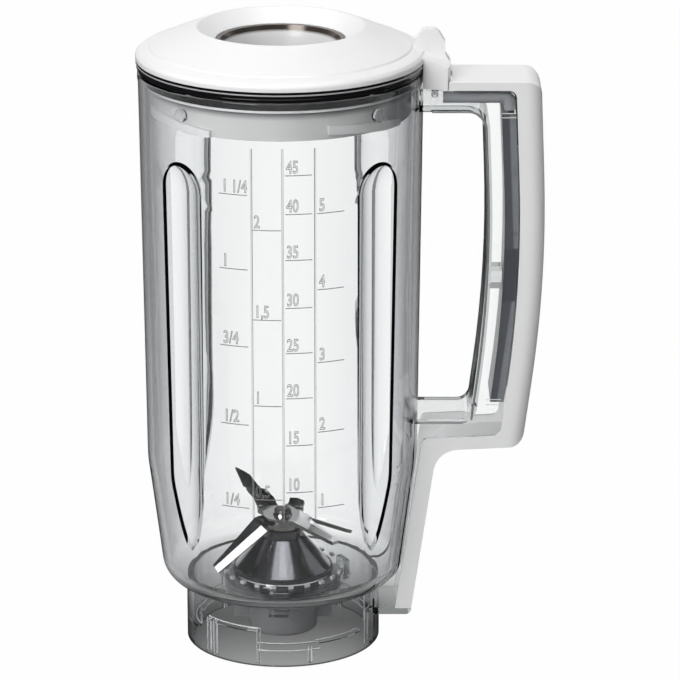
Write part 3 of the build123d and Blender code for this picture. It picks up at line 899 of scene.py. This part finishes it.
@dataclass
class NibRing:
    """Ring of small nibs on the jar's floor round the cone, set out by a node tree."""

    shop: Workshop
    count: int = 22
    radius: float = 23.4 * MM
    floor: float = 27.5 * MM
    length: float = 2.0 * MM
    width: float = 1.2 * MM
    rise: float = 1.2 * MM
    seat: float = 0.4

    def build(self) -> None:
        """Set out the nibs, make them mesh and let them ride on the jar."""
        kinds = {"Count": "Int", "Radius": "Float", "Size": "Vector", "Lift": "Vector"}
        sheet = GeometrySheet("nib_ring", kinds)
        given = sheet.given
        circle = sheet.node("MeshCircle", sockets={"Vertices": given["Count"], "Radius": given["Radius"]})
        nib = sheet.node("MeshCube", sockets={"Size": given["Size"]})
        turn = sheet.sock(sheet.node("InputIndex")) * (math.tau / Sock(sheet, given["Count"]))
        euler = sheet.node("ShaderNodeCombineXYZ", sockets={Axis.Z: turn})
        rotation = sheet.node("FunctionNodeEulerToRotation", sockets={0: euler.outputs[0]})
        spread = {"Points": circle.outputs[0], "Instance": nib.outputs[0], "Rotation": rotation.outputs[0]}
        nibs = sheet.node("InstanceOnPoints", sockets=spread)
        lift = {"Geometry": nibs.outputs[0], "Translation": given["Lift"]}
        sheet.close(sheet.node("Transform", sockets=lift))
        values = {
            "Count": self.count,
            "Radius": self.radius,
            "Size": (self.width, self.length, self.rise),
            "Lift": (0.0, 0.0, self.floor + self.seat * self.rise),
            "Finish": self.shop.materials[Finish.NIB],
        }
        mesh = sheet.mesh(bpy.data.meshes.new("nib_start"), values)
        self.shop.piece("nib_ring", mesh, Finish.NIB, "jar_body")


@dataclass(frozen=True)
class JarWall:
    """Outer face of the jar's wall, in millimetres."""

    foot_radius: float = 46.6
    foot_height: float = 25.0
    knee_radius: float = 53.0
    knee_height: float = 75.7
    mouth_radius: float = 54.8
    mouth_height: float = 232.0

    def radius(self, height: float) -> float:
        """Radius of the wall's outer face.

        Args:
            height: the height above the base.

        Returns:
            The radius there.
        """
        share = (height - self.knee_height) / (self.mouth_height - self.knee_height)
        cone = self.knee_radius + share * (self.mouth_radius - self.knee_radius)
        share = (height - self.foot_height) / (self.knee_height - self.foot_height)
        foot = self.foot_radius + share * (self.knee_radius - self.foot_radius)
        return min(cone, foot)

    def front(self, across: float, height: float, proud: float) -> Vector:
        """Point on the wall's front.

        Args:
            across: where the point is along X on the wall's face.
            height: its height above the base.
            proud: how far it stands off the face.

        Returns:
            The point, in metres.
        """
        radius = self.radius(height)
        angle = math.asin(across / radius)
        reach = radius + proud
        return Vector((reach * math.sin(angle), -reach * math.cos(angle), height)) * MM


@dataclass(frozen=True)
class ScaleColumn:
    """One unit's column of the scale: the span of its marks, its figures' place and the marks' heights."""

    start: float
    end: float
    figure: float
    marks: dict[str, float]


@dataclass
class Scale:
    """Raised scale on the jar's front: long lines, short marks and outlined figures, in millimetres."""

    shop: Workshop
    wall: JarWall = field(default_factory=JarWall)
    low: float = 66.0
    high: float = 214.5
    lines: tuple[float, ...] = (-10.5, 1.25, 13.45)
    line_width: float = 0.75
    line_steps: int = 36
    mark_width: float = 0.32
    mark_steps: int = 8
    crest: float = 0.6
    proud: float = 0.22
    sunk: float = 0.2
    figure_size: float = 6.9
    figure_narrow: float = 0.68
    figure_rise: float = 1.0
    figure_steps: int = 3
    outline: float = 0.16
    outline_steps: int = 1
    sharp: float = 40.0
    columns: tuple[ScaleColumn, ...] = (
        ScaleColumn(
            start=-22.6,
            end=-12.0,
            figure=-21.6,
            marks={"1/4": 71.0, "1/2": 105.0, "3/4": 136.4, "1": 167.0, "1 1/4": 196.2},
        ),
        ScaleColumn(
            start=-10.0,
            end=0.6,
            figure=-9.6,
            marks={"0,5": 75.0, "1": 113.0, "1,5": 147.4, "2": 182.8},
        ),
        ScaleColumn(
            start=2.2,
            end=12.3,
            figure=2.6,
            marks={
                "10": 78.0,
                "15": 97.1,
                "20": 116.1,
                "25": 134.2,
                "30": 152.2,
                "35": 171.1,
                "40": 189.1,
                "45": 204.2,
            },
        ),
        ScaleColumn(
            start=14.2,
            end=24.2,
            figure=14.8,
            marks={"1": 71.0, "2": 102.0, "3": 130.0, "4": 159.0, "5": 189.0},
        ),
    )

    def build(self) -> None:
        """Model the long lines as one piece on the jar and the marks and figures as another."""
        bm = bmesh.new()
        for across in self.lines:
            heights = evenly(self.low, self.high, self.line_steps)
            self.add_bar(bm, [(across, height) for height in heights], (self.line_width / 2, 0.0))
        self.finish(bm, "scale_lines", Finish.LINE)
        bm = bmesh.new()
        for column in self.columns:
            for figure, height in column.marks.items():
                places = evenly(column.start, column.end, self.mark_steps)
                self.add_bar(bm, [(across, height) for across in places], (0.0, self.mark_width / 2))
                self.add_figure(bm, figure, column.figure, height + self.figure_rise)
        self.finish(bm, "scale_figures", Finish.RELIEF)

    def finish(self, bm: bmesh.types.BMesh, name: str, finish: Finish) -> None:
        """Turn what was modelled into a piece that rides on the jar.

        Args:
            bm: what was modelled, which is used up.
            name: the piece's name.
            finish: its finish.
        """
        bmesh.ops.recalc_face_normals(bm, faces=bm.faces)
        mesh = bpy.data.meshes.new(name)
        bm.to_mesh(mesh)
        bm.free()
        smooth(mesh, self.sharp)
        self.shop.piece(name, mesh, finish, "jar_body")

    def add_bar(self, bm: bmesh.types.BMesh, path: Sequence[Pair], half: Pair) -> None:
        """Add a low bar along a path on the wall's front.

        Args:
            bm: the mesh to add to.
            path: points across and up the wall.
            half: half of the bar's width, across and up.
        """
        section = (
            (-1.0, -self.sunk),
            (-self.crest, self.proud),
            (self.crest, self.proud),
            (1.0, -self.sunk),
        )
        aside, up = half
        rows = []
        for across, height in path:
            row = [
                self.wall.front(across + aside * share, height + up * share, rise) for share, rise in section
            ]
            rows.append([bm.verts.new(point) for point in row])
        for first, second in zip(rows, rows[1:]):
            for side in range(len(section)):
                after = (side + 1) % len(section)
                bm.faces.new((first[side], first[after], second[after], second[side]))
        bm.faces.new(rows[0])
        bm.faces.new(list(reversed(rows[-1])))

    def add_figure(self, bm: bmesh.types.BMesh, text: str, across: float, height: float) -> None:
        """Add a figure's outline as a thin raised line that follows the wall.

        Args:
            bm: the mesh to add to.
            text: the figure.
            across: where it starts along X.
            height: the height that it stands at.
        """
        curve = bpy.data.curves.new("figure", "FONT")
        curve.body = text
        curve.size = self.figure_size
        curve.fill_mode = "NONE"
        curve.bevel_depth = self.outline
        curve.bevel_resolution = self.outline_steps
        curve.resolution_u = self.figure_steps
        holder = linked("figure", curve)
        flat = plain_mesh(holder)
        for vertex in flat.vertices:
            place = vertex.co
            vertex.co = self.wall.front(across + place.x * self.figure_narrow, height + place.y, place.z)
        bm.from_mesh(flat)
        bpy.data.meshes.remove(flat)
        bpy.data.objects.remove(holder)
        bpy.data.curves.remove(curve)


@dataclass
class Assembly:
    """Sub-assembly of the object, with the finish of each of its nodes."""

    shop: Workshop
    beads: Beads
    finishes: ClassVar[dict[str, Finish]] = {}

    def build(self) -> None:
        """Dress the nodes, then add what the solids leave out."""
        for node, finish in self.finishes.items():
            self.shop.dress(node, finish)
        self.trim()

    def trim(self) -> None:
        """Add no trim, where the solids are all there is."""


@dataclass
class Jar(Assembly):
    """Clear jar with its scale, its nibs and pale beads on the edges of its bayonet ribs as painted
    highlights, in millimetres and degrees.
    """

    finishes: ClassVar[dict[str, Finish]] = {"jar_body": Finish.CLEAR}
    rib_count: int = 3
    rib_phase: float = -106.0
    rib_radius: float = 34.4
    rib_bead: float = 0.22
    rib_line: float = 2.0
    rib_foot: float = 0.7
    frame_turn: float = -38.0
    entry_turn: float = -32.0
    entry_top: float = 14.8
    stub_turn: float = 33.0
    stub_top: float = 7.0
    lock_turn: float = 39.5
    lock_heights: Pair = (5.8, 8.7)
    shelf_turn: float = 71.0
    shelf_top: float = 9.3

    def trim(self) -> None:
        """Add the scale, the nibs and the beads on the ribs in the base ring, which are painted highlights.
        """
        Scale(self.shop).build()
        NibRing(self.shop).build()
        paths = [path for turn in range(self.rib_count) for path in self.painted_rib_highlights(turn)]
        # painted highlight: pale beads along the ribs' edges
        self.beads.add("painted_rib_highlights", paths, self.rib_bead, Finish.BEAD, "jar_body")

    def painted_rib_highlights(self, turn: int) -> list[list[Vector]]:
        """Edges of one set of bayonet ribs.

        Args:
            turn: the set's number round the ring.

        Returns:
            The lines of its edges.
        """
        middle = self.rib_phase + 360.0 / self.rib_count * turn
        frame, lock = middle + self.frame_turn, middle + self.lock_turn
        levels = [(self.entry_top, frame, middle + self.rib_line)]
        levels.append((self.shelf_top, lock - self.rib_line, middle + self.shelf_turn))
        levels += [(height, middle, lock) for height in self.lock_heights]
        edges = [arc(self.rib_radius, *level) for level in levels]
        posts = [(place, self.entry_top) for place in (frame, middle + self.entry_turn, middle)]
        for place, top in (*posts, (middle + self.stub_turn, self.stub_top)):
            edges += [self.post(place, top), self.post(place + self.rib_line, top)]
        return edges

    def post(self, turn: float, top: float) -> list[Vector]:
        """Upright line on the ribs' inner face."""
        return [arc(self.rib_radius, height, turn, turn)[0] for height in (self.rib_foot, top)]


@dataclass
class Handle(Assembly):
    """Handle with its white cover, its dark strip, the edges of its channel, and beads that paint shade and
    a highlight in the channel, in millimetres.
    """

    finishes: ClassVar[dict[str, Finish]] = {"handle_cover": Finish.WHITE, "handle_strip": Finish.STRIP}
    half_width: float = 13.9
    window: tuple[Pair, ...] = ((57.0, 218.0), (77.48, 218.0), (80.3, 150.0), (73.05, 94.0))
    window_rounds: Pair = (7.0, 477.0)
    window_inset: float = 0.8
    window_bead: float = 0.42
    seam: tuple[Pair, ...] = ((66.0, 226.1), (89.7, 226.1), (90.6, 205.0))
    seam_rounds: tuple[float] = (3.0,)
    seam_bead: float = 0.22
    shade_liner: tuple[Pair, ...] = ((62.0, 223.1), (87.3, 223.1), (87.9, 218.2))
    shade_liner_depth: float = -9.1
    shade_liner_bead: float = 2.6
    sill: tuple[Pair, ...] = ((57.0, 93.7), (71.5, 93.7))
    sill_bead: float = 0.3
    upper_tabs: Pair = (84.6, 90.0)
    upper_tab_heights: Pair = (217.0, 215.3)
    lower_tabs: Pair = (79.6, 85.4)
    lower_tab_heights: Pair = (101.8, 99.8)
    tab_depth: float = -11.58
    tab_bead: float = 0.2

    def trim(self) -> None:
        """Add the edges of the window and the seam, a grey liner in the upper arm as painted shade, a pale
        bead on the sill as a painted highlight, and the strip's tabs.
        """
        window = rounded(self.window, self.window_rounds)
        sides = [upright(window, side * self.half_width, self.window_inset) for side in (-1.0, 1.0)]
        self.beads.add("window_edges", sides, self.window_bead, Finish.RELIEF, "jar_body")
        seam = upright(rounded(self.seam, self.seam_rounds), -self.half_width)
        self.beads.add("seam_line", [seam], self.seam_bead, Finish.DARK, "jar_body")
        # painted shade: grey tube inside the upper arm's hollow
        shade_liner = upright(rounded(self.shade_liner, self.seam_rounds), self.shade_liner_depth)
        self.beads.add("arm_shade_liner", [shade_liner], self.shade_liner_bead, Finish.SHADE_LINER, "handle_strip")
        # painted highlight: pale bead along the sill
        sill = upright([Vector(end) for end in self.sill], -self.half_width)
        self.beads.add("painted_sill_highlight", [sill], self.sill_bead, Finish.BEAD, "jar_body")
        tabs = [
            upright([Vector((end, height)) for end in ends], self.tab_depth)
            for ends, heights in (
                (self.upper_tabs, self.upper_tab_heights),
                (self.lower_tabs, self.lower_tab_heights),
            )
            for height in heights
        ]
        self.beads.add("strip_tabs", tabs, self.tab_bead, Finish.BEAD, "handle_strip")


@dataclass
class Lid(Assembly):
    """Lid with its seal and its filler funnel, in millimetres."""

    finishes: ClassVar[dict[str, Finish]] = {
        "lid": Finish.LID,
        "lid_seal": Finish.RUBBER,
        "filler_funnel": Finish.FUNNEL,
    }
    ledge: Pair = (51.68, 228.15)
    ledge_bead: float = 0.3
    upper_lip: Pair = (55.22, 235.05)
    upper_lip_bead: float = 0.36
    lower_lip: Pair = (54.85, 233.3)
    lower_lip_bead: float = 0.42

    def trim(self) -> None:
        """Add a pale bead on the skirt's ledge as a painted highlight, and the seal's two lips, the upper
        one pale as a painted sheen.
        """
        for name, place, radius, finish, node in (
            ("painted_ledge_highlight", self.ledge, self.ledge_bead, Finish.BEAD, "lid"),
            ("seal_upper_lip", self.upper_lip, self.upper_lip_bead, Finish.SHEEN, "lid_seal"),
            ("seal_lower_lip", self.lower_lip, self.lower_lip_bead, Finish.RUBBER, "lid_seal"),
        ):
            self.beads.add(name, [ring(*place)], radius, finish, node, closed=True)


@dataclass
class Carrier(Assembly):
    """Blade carrier with its cone, its bearings and its seals."""

    finishes: ClassVar[dict[str, Finish]] = {
        "blade_carrier": Finish.CARRIER,
        "carrier_seal": Finish.RUBBER,
        "bearing_cone": Finish.POLISHED,
        "upper_bearing": Finish.BRONZE,
        "lower_bearing": Finish.BRONZE,
        "shaft_seal": Finish.RUBBER,
    }


@dataclass
class Rotor(Assembly):
    """Blades, shaft and drive coupling."""

    finishes: ClassVar[dict[str, Finish]] = {
        "blade_shaft": Finish.BLADE,
        "blade_spacer": Finish.NUT,
        "thrust_washer": Finish.DARK,
        "drive_coupling": Finish.DARK,
        "retaining_ring": Finish.BLADE,
        "lower_blade": Finish.LOWER_BLADE,
        "upper_blade": Finish.UPPER_BLADE,
        "blade_washer": Finish.BLADE,
        "blade_nut": Finish.NUT,
    }


@dataclass(frozen=True)
class Lamp:
    """One square soft box, in metres and watts."""

    name: str
    place: Point
    aim: Point
    size: float
    power: float
    mirrored: bool = True

    def build(self) -> None:
        """Hang the lamp and turn it to what it faces."""
        data = bpy.data.lights.new(self.name, "AREA")
        data.size = self.size
        data.energy = self.power
        lamp = linked(self.name, data)
        lamp.location = self.place
        lamp.visible_glossy = lamp.visible_transmission = self.mirrored
        lamp.rotation_euler = (Vector(self.aim) - Vector(self.place)).to_track_quat("-Z", "Y").to_euler()


@dataclass(frozen=True)
class Looks:
    """Shares of what is looked at straight on, in a mirror and through clear plastic."""

    seen: Sock
    mirrored: Sock
    through: Sock


@dataclass
class Studio:
    """Pale floor and backdrop, soft lamps and the camera."""

    camera_place: Point = (22.7 * MM, -1545.0 * MM, 626.0 * MM)
    camera_dip: float = 18.06
    focal_pixels: float = 4156.0
    frame_pixels: float = 680.0
    sensor: float = 36.0
    floor_half: float = 6.0
    floor_grey: Colour = (0.5, 0.5, 0.5)
    floor_mirrored: float = 0.02
    floor_through: float = 1.16
    shade_inner: float = 36.0 * MM
    shade_outer: float = 100.0 * MM
    shade_depth: float = 0.09
    shade_front: float = 0.22
    shade_start: float = -10.8 * MM
    side_inner: float = 130.0 * MM
    side_outer: float = 300.0 * MM
    painted_side_shade: float = 0.3
    front_inner: float = 55.0 * MM
    front_outer: float = 100.0 * MM
    painted_front_shade: float = 0.3
    screen_grey: Colour = (0.85, 0.85, 0.85)
    screen_level: float = 0.5
    screen_white: Pair = (0.45, 0.65)
    screen_half: float = 1.5
    screen_height: float = 2.4
    screen_back: float = 2.6
    seen_share: float = 0.985
    shown_share: float = 0.96
    white: Colour = (1.0, 1.0, 1.0)
    room: Colour = (0.17, 0.17, 0.175)
    room_shown: Colour = (0.015, 0.015, 0.017)
    horizon: Pair = (0.12, 0.144)
    lamps: tuple[Lamp, ...] = (
        Lamp("overhead", (0.0, -0.35, 1.6), (0.0, 0.0, 0.15), 1.2, 11.5),
        Lamp("strip", (0.0, -0.66, 1.5), (0.0, 0.0, 0.04), 0.45, 1.5),
        Lamp("key", (-1.0, -1.6, 1.1), (0.0, 0.0, 0.13), 1.0, 23.5),
        Lamp("corner", (-0.95, 0.4, 1.6), (0.0, 0.0, 0.1), 0.5, 2.5),
        Lamp("back", (0.5, 1.7, 1.2), (0.0, 0.0, 0.13), 0.8, 9.0, mirrored=False),
        Lamp("fill", (1.3, -0.8, 0.8), (0.0, 0.0, 0.13), 0.8, 0.3),
    )

    def build(self) -> None:
        """Set the colours, the camera, the floor, the backdrop, the lamps and the world."""
        bpy.context.scene.view_settings.view_transform = "Standard"
        self.add_camera()
        self.add_floor()
        self.add_backdrop()
        for lamp in self.lamps:
            lamp.build()
        self.add_world()

    def add_camera(self) -> None:
        """Camera at the photograph's place and angle."""
        data = bpy.data.cameras.new("camera")
        data.sensor_width = self.sensor
        data.lens = self.focal_pixels / self.frame_pixels * self.sensor
        camera = linked("camera", data)
        camera.location = self.camera_place
        camera.rotation_euler = (math.radians(90.0 - self.camera_dip), 0.0, 0.0)
        bpy.context.scene.camera = camera

    def looks(self, sheet: Sheet) -> Looks:
        """Find how a stage piece is looked at.

        Args:
            sheet: the node tree to add to.

        Returns:
            The shares, of which the last two stop where a matt surface has scattered the light.
        """
        path = sheet.node("LightPath")
        straight = 1.0 - sheet.sock(path, "Diffuse Depth").at_most(1.0)
        return Looks(
            sheet.sock(path, "Is Camera Ray"),
            sheet.sock(path, "Is Glossy Ray") * straight,
            sheet.sock(path, "Is Transmission Ray") * straight,
        )

    def glow(self, sheet: Sheet, looks: Looks, level: Sock, grey: Colour) -> None:
        """Let a stage piece glow where it is looked at and be matt for the lamps.

        Args:
            sheet: the material's node tree.
            looks: how the piece is looked at.
            level: how bright it glows.
            grey: its colour under the lamps.
        """
        shown = self.shown_share * looks.mirrored.at_least(looks.through)
        share = (self.seen_share * looks.seen).at_least(shown)
        matt = sheet.node("BsdfDiffuse", sockets={"Color": grey})
        bright = sheet.node("Emission", sockets={"Color": self.white, "Strength": level})
        sheet.output(sheet.mixed(share, matt, bright))

    def plane(self, name: str, corners: Sequence[Point], material: bpy.types.Material) -> bpy.types.Object:
        """Add a flat stage piece.

        Args:
            name: its name.
            corners: its four corners in order.
            material: its finish.

        Returns:
            The new object.
        """
        mesh = bpy.data.meshes.new(name)
        mesh.from_pydata(corners, [], [range(len(corners))])
        mesh.materials.append(material)
        return linked(name, mesh)

    def add_floor(self) -> None:
        """Floor that looks white, keeps the object's shadow, and, as seen through clear plastic, has painted
        shade under the jar, to the sides and in front.
        """
        material, sheet = new_sheet("floor")
        place, reach = sheet.place(), sheet.reach()
        ahead, across = -sheet.part(place, Axis.Y), sheet.part(place, Axis.X)
        under = self.shade_depth + self.shade_front * sheet.step(ahead, self.shade_start, self.shade_inner)
        lit = sheet.step(reach, self.shade_inner, self.shade_outer).at_least(under)
        aside = sheet.step(across * across, self.side_inner**2, self.side_outer**2)
        near = sheet.step(ahead, self.front_inner, self.front_outer)
        # painted shade: the floor seen through clear plastic dims to the sides and in front
        lit = lit * (1.0 - self.painted_side_shade * aside) * (1.0 - self.painted_front_shade * near)
        looks = self.looks(sheet)
        mirrored = self.floor_mirrored * looks.mirrored * (1.0 - looks.through)
        level = looks.seen + self.floor_through * lit * looks.through + mirrored
        self.glow(sheet, looks, level, self.floor_grey)
        half = self.floor_half
        corners = [(-half, -half, 0.0), (half, -half, 0.0), (half, half, 0.0), (-half, half, 0.0)]
        floor = self.plane("floor", corners, material)

    def add_backdrop(self) -> None:
        """White screen behind the object, for steel and clear plastic to show."""
        material, sheet = new_sheet("backdrop")
        looks = self.looks(sheet)
        fall = (1.0 - self.screen_level) * sheet.step(sheet.height(), *self.screen_white)
        self.glow(sheet, looks, looks.seen.at_least(1.0 - fall), self.screen_grey)
        half, high, back = self.screen_half, self.screen_height, self.screen_back
        corners = [(-half, back, 0.0), (half, back, 0.0), (half, back, high), (-half, back, high)]
        screen = self.plane("backdrop", corners, material)

    def add_world(self) -> None:
        """White to the camera and near the horizon, and plain grey light on the object."""
        world = bpy.data.worlds.new("world")
        world.use_nodes = True
        bpy.context.scene.world = world
        sheet = Sheet(world.node_tree)
        looks = self.looks(sheet)
        white, room, shown = (
            sheet.node("Background", sockets={"Color": colour})
            for colour in (self.white, self.room, self.room_shown)
        )
        rise = sheet.part(sheet.sock(sheet.node("TexCoord"), "Generated"), Axis.Z)
        low, high = self.horizon
        level = 1.0 - sheet.step(rise * rise, low**2, high**2)
        dim = sheet.mixed(looks.mirrored.at_least(looks.through), room, shown)
        mix = sheet.mixed(looks.seen.at_least(level * looks.through), dim, white)
        sheet.node("OutputWorld", sockets={"Surface": mix.outputs[0]})


def main() -> None:
    """Build the studio and then each sub-assembly."""
    logging.basicConfig(level=logging.INFO, format="%(name)s %(message)s")
    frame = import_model()
    workshop = Workshop(frame)
    Studio().build()
    beads = Beads(workshop)
    for assembly in (Jar, Handle, Lid, Carrier, Rotor):
        assembly(workshop, beads).build()


if __name__ == "__main__":
    main()
